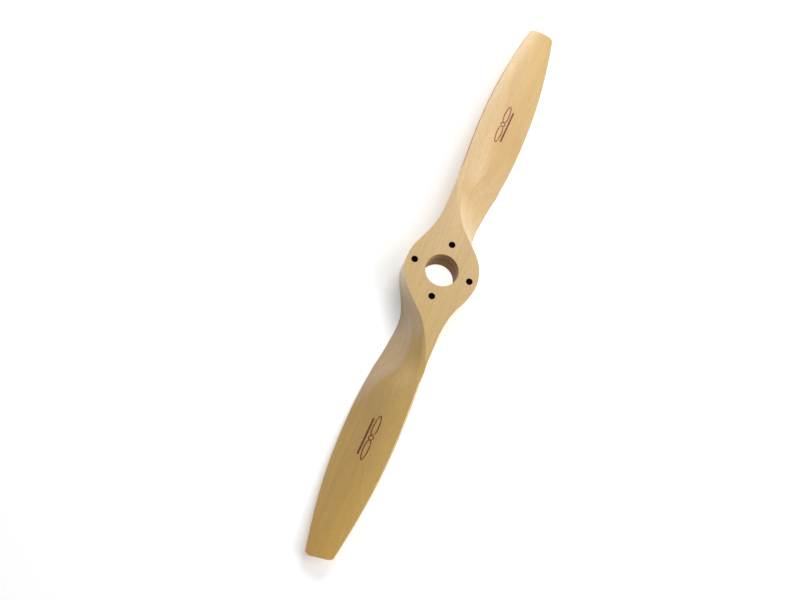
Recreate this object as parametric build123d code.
"""Two-blade laminated wooden propeller.

Frame: the propeller lies on its back face.  Z is the shaft axis and points to the front (nose)
face, the blades lie along X, and the origin is where the shaft axis meets the back face.
All sizes are millimetres.
"""
from build123d import *
from math import atan2, cos, pi, sin, tan
import os

# --- driving dimensions ---------------------------------------------------------------------
TIP_RADIUS = 304.8          # half of a 24 inch diameter
PITCH = 457.2               # advance per turn, 18 inches
PLY_THICKNESS = 10.2        # three plies of beech
GLUE_THICKNESS = 0.15       # glue film between two plies
HUB_THICKNESS = 3 * PLY_THICKNESS + 2 * GLUE_THICKNESS

BORE_DIAMETER = 33.5        # centring bore for the engine's spigot
BOLT_CIRCLE = 58.7
BOLT_HOLE = 6.5             # clearance for M6
BOLT_COUNT = 4

FRONT_STEEPENING = (40.8, 4)  # radius and power of the law that turns the front wall upright
BACK_STEEPENING = (24.5, 2)   # and the same for the back wall, which is undercut more
TIP_LEAD_CORNER = 9.0       # radii of the tip's two corners
TIP_TRAIL_CORNER = 7.0
TIP_LEAD = 5.5              # where the tip's corners lie across the blade
TIP_TRAIL = -20.0
TIP_SLANT = 7.0             # degrees that the tip's end leans back towards the leading edge
TIP_TRIM_LENGTH = 40.0      # how far in from the tip the trimming outline starts to widen
TIP_TRIM_FLARE = (20.0, 16.0)   # and by how much, on the leading and on the trailing side
ROOM = 60.0                 # half width that clears the carving everywhere

# Root stations, where the carving runs out of the blank at both hub faces:
# radius, outline on the leading side, outline on the trailing side, how far the section is
# carried past the hub faces before it is planed off, and how far its front and its back swell.
ROOT_STATIONS = (
    (0.0, 37.6, -37.6, 8.0, 0.0, 0.0),
    (14.0, 35.5, -35.3, 8.0, 0.0, 0.0),
    (25.0, 31.2, -30.7, 8.0, 0.0, 0.0),
    (37.0, 26.2, -25.4, 8.0, -0.8, 0.0),
    (50.0, 22.6, -21.0, 8.0, -1.2, 0.0),
    (62.0, 20.4, -19.9, 7.0, -0.5, 1.0),
    (78.0, 19.3, -21.3, 4.5, 0.0, 2.4),
    (96.0, 19.4, -23.8, 1.5, 1.2, 3.0),
)
# Blade stations: radius, leading edge, trailing edge, height of the chord's middle, and the
# thickness at the leading edge, at the crown and at the trailing edge.
BLADE_STATIONS = (
    (124.0, 20.6, -27.2, 13.9, 2.8, 7.2, 1.8),
    (162.0, 21.1, -30.6, 13.4, 2.5, 6.2, 1.5),
    (199.0, 20.0, -31.4, 12.9, 2.2, 5.3, 1.4),
    (237.0, 16.5, -29.7, 12.4, 1.9, 4.4, 1.3),
    (273.0, 11.1, -25.5, 12.3, 1.7, 3.6, 1.2),
    (299.0, 6.2, -21.2, 12.4, 1.5, 2.9, 1.2),
    (314.0, 2.7, -18.2, 12.5, 1.4, 2.5, 1.1),
)
# Where the hub's front face meets the carved wall, the edge is sanded round, more and more
# towards the blade: radius, place of the edge, its height over the hub's face, the wall's
# angle in degrees, and how far the rounding reaches on both sides of the edge.
SANDED_EDGE = (
    (46.0, -9.8, 0.0, 74.0, 0.1),
    (49.0, -6.8, 0.0, 70.0, 1.2),
    (54.0, -2.8, 0.0, 65.0, 1.4),
    (62.0, 2.4, 0.0, 56.0, 1.7),
    (74.0, 7.9, 0.0, 48.5, 3.0),
    (86.0, 12.2, 0.0, 40.5, 4.0),
    (98.0, 15.6, 0.0, 32.5, 4.8),
    (112.0, 18.2, 0.05, 21.5, 5.0),
    (132.0, 21.5, 1.2, 13.0, 5.0),
)
SANDING_CLEARANCE = 0.1     # how far the ends of the rounding's arc stand off the two faces
SANDING_DEPTH = 14.0        # size of the tool that rounds the edge
# How a carved face swells along the chord: place from the leading edge, and share of the crown.
CROWN_PROFILE = ((0.0, 0.0), (0.14, 0.50), (0.40, 1.0), (0.72, 0.62), (1.0, 0.0))
CROWN_PLACE = 0.40
EDGE_ROUNDING = 0.35        # how far the two thin edges swell, as a share of their thickness


def wall_angle(radius, steepening):
    """Angle of a carved face: a true helix, turning upright towards the hub."""
    if radius < 1:
        return pi / 2
    start, power = steepening
    return atan2(PITCH / (2 * pi * radius) * (1 + (start / radius) ** power), 1)


def between(start, end, share):
    return tuple(a + (b - a) * share for a, b in zip(start, end))


def section_points(station):
    """The back line and the carved front line of one section, leading edge first, as (y, z)."""
    radius, lead, trail = station[:3]
    angle = wall_angle(radius, FRONT_STEEPENING)
    normal = (-sin(angle), cos(angle))
    if station in ROOT_STATIONS:
        overrun, swell, belly = station[3:]
        top = HUB_THICKNESS + overrun
        back_angle = wall_angle(radius, BACK_STEEPENING)
        back_run = cos(back_angle) / sin(back_angle)
        front_run = cos(angle) / sin(angle)
        back = [(lead + overrun * back_run, top), (lead - top * back_run, -overrun)]
        front = [(trail + top * front_run, top), (trail - overrun * front_run, -overrun)]
    else:
        middle, nose, thickest, tail = station[3:]
        rise = (lead - trail) / 2 * tan(angle)
        back = [(lead, middle + rise), (trail, middle - rise)]
        front = [(y + n * normal[0], z + n * normal[1]) for (y, z), n in zip(back, (nose, tail))]
        swell = thickest - nose - (tail - nose) * CROWN_PLACE
        belly = 0.0
    lines = []
    for ends, bulge in ((back, -belly), (front, swell)):
        line = []
        for place, share in CROWN_PROFILE:
            y, z = between(*ends, place)
            line.append((y + normal[0] * bulge * share, z + normal[1] * bulge * share))
        lines.append(line)
    return lines


def thin_edge(start, end, x, side):
    """The rounded leading or trailing edge between the two faces of a section."""
    (y0, z0), (y1, z1) = start, end
    swell = EDGE_ROUNDING * side
    middle = ((y0 + y1) / 2 + (z1 - z0) * swell, (z0 + z1) / 2 - (y1 - y0) * swell)
    return Spline([(x, *start), (x, *middle), (x, *end)])


def blade_section(station, turned):
    """One closed section, on the +X blade or, turned half round, on the other one."""
    back, front = section_points(station)
    x = station[0]
    if turned:
        # the same four sides, met in the same order when seen along +X
        back, front = ([(-y, z) for y, z in line] for line in (back, front))
        x = -x
    back_side = Spline([(x, *p) for p in back])
    front_side = Spline([(x, *p) for p in front])
    if station in ROOT_STATIONS:
        top = Spline([(x, *between(back[0], front[0], u)) for u in (0, 0.5, 1)])
        bottom = Spline([(x, *between(back[-1], front[-1], u)) for u in (0, 0.5, 1)])
    else:
        side = -1 if turned else 1
        top = thin_edge(back[0], front[0], x, side)
        bottom = thin_edge(back[-1], front[-1], x, -side)
    if turned:
        return Wire([front_side, top, back_side, bottom])
    return Wire([back_side, top, front_side, bottom])


def carved_blank():
    """Both blades and the hub as one carved body, still without its holes."""
    stations = ROOT_STATIONS + BLADE_STATIONS
    wires = [blade_section(s, True) for s in reversed(stations[1:])]
    wires += [blade_section(s, False) for s in stations]
    return Solid.make_loft(wires)


def tip_outline(sign):
    """What the blade keeps at its tip, seen from the front: a slanted end with round corners."""
    slant = tan(TIP_SLANT * pi / 180)
    lead = (TIP_RADIUS - (TIP_LEAD - TIP_TRAIL) / 2 * slant, TIP_LEAD)
    trail = (TIP_RADIUS + (TIP_LEAD - TIP_TRAIL) / 2 * slant, TIP_TRAIL)
    inner_lead = (TIP_RADIUS - TIP_TRIM_LENGTH, TIP_LEAD + TIP_TRIM_FLARE[0])
    inner_trail = (TIP_RADIUS - TIP_TRIM_LENGTH, TIP_TRAIL - TIP_TRIM_FLARE[1])
    points = [(sign * x, sign * y) for x, y in (inner_lead, lead, trail, inner_trail)]
    outline = Polyline(*points, (0, -sign * ROOM), (0, sign * ROOM), close=True)
    face = make_face(outline)
    for (x, y), radius in ((lead, TIP_LEAD_CORNER), (trail, TIP_TRAIL_CORNER)):
        corner = face.vertices().sort_by_distance((sign * x, sign * y, 0))[0]
        face = fillet(corner, radius)
    return face


def sanding_tool(sign):
    """What is sanded off the edge between the hub's face and the wall of one blade's root."""
    wires = []
    for radius, edge, lift, degrees, reach in SANDED_EDGE:
        angle = degrees * pi / 180
        height = HUB_THICKNESS + lift
        depth = reach / tan(angle / 2) * (1 / cos(angle / 2) - 1)
        clear = SANDING_CLEARANCE
        face_end = (edge + reach, height + clear)
        middle = (edge + depth * sin(angle / 2), height - depth * cos(angle / 2))
        wall_end = (edge - reach * cos(angle) - clear * sin(angle),
                    height - reach * sin(angle) + clear * cos(angle))
        over_wall = (wall_end[0] - SANDING_DEPTH, HUB_THICKNESS + SANDING_DEPTH)
        over_face = (face_end[0], HUB_THICKNESS + SANDING_DEPTH)
        corners = (face_end, middle, wall_end, over_wall, over_face)
        face_end, middle, wall_end, over_wall, over_face = (
            (sign * radius, sign * y, z) for y, z in corners)
        rounding = ThreePointArc(face_end, middle, wall_end)
        wires.append(Wire([rounding, Line(wall_end, over_wall), Line(over_wall, over_face),
                           Line(over_face, face_end)]))
    return Solid.make_loft(wires if sign > 0 else wires[::-1])


def slab(bottom, thickness):
    """A plate across the whole propeller, used to plane it and to part it into layers."""
    low = (Align.CENTER, Align.CENTER, Align.MIN)
    return Pos(0, 0, bottom) * Box(2 * TIP_RADIUS + ROOM, 2 * ROOM, thickness, align=low)


def propeller():
    """The carved body planed to the hub's thickness, with its tips cut and its holes bored."""
    body = carved_blank() & slab(0, HUB_THICKNESS)
    body &= extrude(tip_outline(1) + tip_outline(-1), HUB_THICKNESS)
    body -= sanding_tool(1)
    body -= sanding_tool(-1)
    bore = Cylinder(BORE_DIAMETER / 2, 3 * HUB_THICKNESS)
    bolts = PolarLocations(BOLT_CIRCLE / 2, BOLT_COUNT) * Cylinder(BOLT_HOLE / 2, 3 * HUB_THICKNESS)
    return body - bore - bolts


if __name__ == "__main__":
    os.makedirs("parts", exist_ok=True)
    body = propeller()
    step = PLY_THICKNESS + GLUE_THICKNESS
    layers = {
        "back_ply": (0, PLY_THICKNESS),
        "rear_glue_line": (PLY_THICKNESS, GLUE_THICKNESS),
        "middle_ply": (step, PLY_THICKNESS),
        "front_glue_line": (step + PLY_THICKNESS, GLUE_THICKNESS),
        "front_ply": (2 * step, PLY_THICKNESS),
    }
    for name, (bottom, thickness) in layers.items():
        export_step(body & slab(bottom, thickness), "parts/" + name + ".step")
